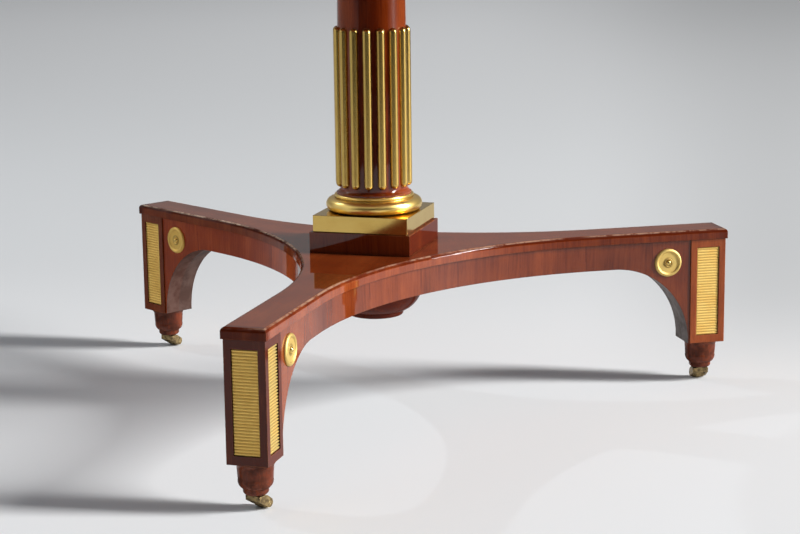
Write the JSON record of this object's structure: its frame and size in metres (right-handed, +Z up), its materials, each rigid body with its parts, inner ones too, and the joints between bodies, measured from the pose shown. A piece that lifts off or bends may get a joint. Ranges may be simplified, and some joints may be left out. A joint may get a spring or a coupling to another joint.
{
  "type": "tripod table",
  "caption": "Round pedestal table on a mahogany tripod platform with arched legs, gilt-brass mounts, a fluted column and swivelling casters.",
  "frame": {"origin": "on the floor, under the column's axis", "axes": "+Z up along the column; the front leg runs along -Y, the other two at 30 and 150 degrees from +X"},
  "size_m": [0.904, 0.904, 0.74],
  "materials": {
    "mahogany": "French-polished red-brown mahogany veneer and solid, clear gloss coat",
    "gilt_brass": "fire-gilt brass, satin with burnished high points",
    "caster_brass": "old cast brass, darkened and dull",
    "iron": "forged iron, dull"
  },
  "bodies": {
    "base": {"abacus": "mahogany", "arm_front": "mahogany", "arm_left": "mahogany", "arm_right": "mahogany", "base_ring": "gilt_brass", "bearer": "mahogany", "bearer_screws": "iron", "capital": "mahogany", "caster_stem_front": "caster_brass", "caster_stem_left": "caster_brass", "caster_stem_right": "caster_brass", "column_shaft": "mahogany", "flute_rods": "gilt_brass", "foot_front": "mahogany", "foot_left": "mahogany", "foot_right": "mahogany", "leg_post_front": "mahogany", "leg_post_left": "mahogany", "leg_post_right": "mahogany", "necking_ring": "gilt_brass", "panel_front_a": "gilt_brass", "panel_front_b": "gilt_brass", "panel_front_end": "gilt_brass", "panel_left_a": "gilt_brass", "panel_left_b": "gilt_brass", "panel_left_end": "gilt_brass", "panel_right_a": "gilt_brass", "panel_right_b": "gilt_brass", "panel_right_end": "gilt_brass", "pendant_boss": "mahogany", "platform_top": "mahogany", "plinth_block": "mahogany", "plinth_shell": "gilt_brass", "rod_nuts": "iron", "rod_washers": "iron", "roundel_front_a": "gilt_brass", "roundel_front_b": "gilt_brass", "roundel_left_a": "gilt_brass", "roundel_left_b": "gilt_brass", "roundel_right_a": "gilt_brass", "roundel_right_b": "gilt_brass", "table_top": "mahogany", "tie_rod": "iron", "top_rim": "gilt_brass"},
    "fork_front": {"caster_fork_front": "caster_brass", "caster_axle_front": "caster_brass"},
    "wheel_front": {"caster_wheel_front": "caster_brass"},
    "fork_right": {"caster_fork_right": "caster_brass", "caster_axle_right": "caster_brass"},
    "wheel_right": {"caster_wheel_right": "caster_brass"},
    "fork_left": {"caster_fork_left": "caster_brass", "caster_axle_left": "caster_brass"},
    "wheel_left": {"caster_wheel_left": "caster_brass"}
  },
  "joints": [
    {"name": "caster_swivel_front", "type": "hinge", "parent": "base", "child": "fork_front", "pos_m": [0, -0.426, 0.015], "axis": [0, 0, 1], "continuous": true},
    {"name": "caster_roll_front", "type": "hinge", "parent": "fork_front", "child": "wheel_front", "pos_m": [0.00342, -0.4166, 0.007], "axis": [-0.9397, 0.342, 0], "continuous": true},
    {"name": "caster_swivel_right", "type": "hinge", "parent": "base", "child": "fork_right", "pos_m": [0.36893, 0.213, 0.015], "axis": [0, 0, 1], "continuous": true},
    {"name": "caster_roll_right", "type": "hinge", "parent": "fork_right", "child": "wheel_right", "pos_m": [0.36518, 0.22227, 0.007], "axis": [-0.9272, -0.3746, 0], "continuous": true},
    {"name": "caster_swivel_left", "type": "hinge", "parent": "base", "child": "fork_left", "pos_m": [-0.36893, 0.213, 0.015], "axis": [0, 0, 1], "continuous": true},
    {"name": "caster_roll_left", "type": "hinge", "parent": "fork_left", "child": "wheel_left", "pos_m": [-0.36584, 0.22251, 0.007], "axis": [-0.9511, 0.309, 0], "continuous": true}
  ]
}
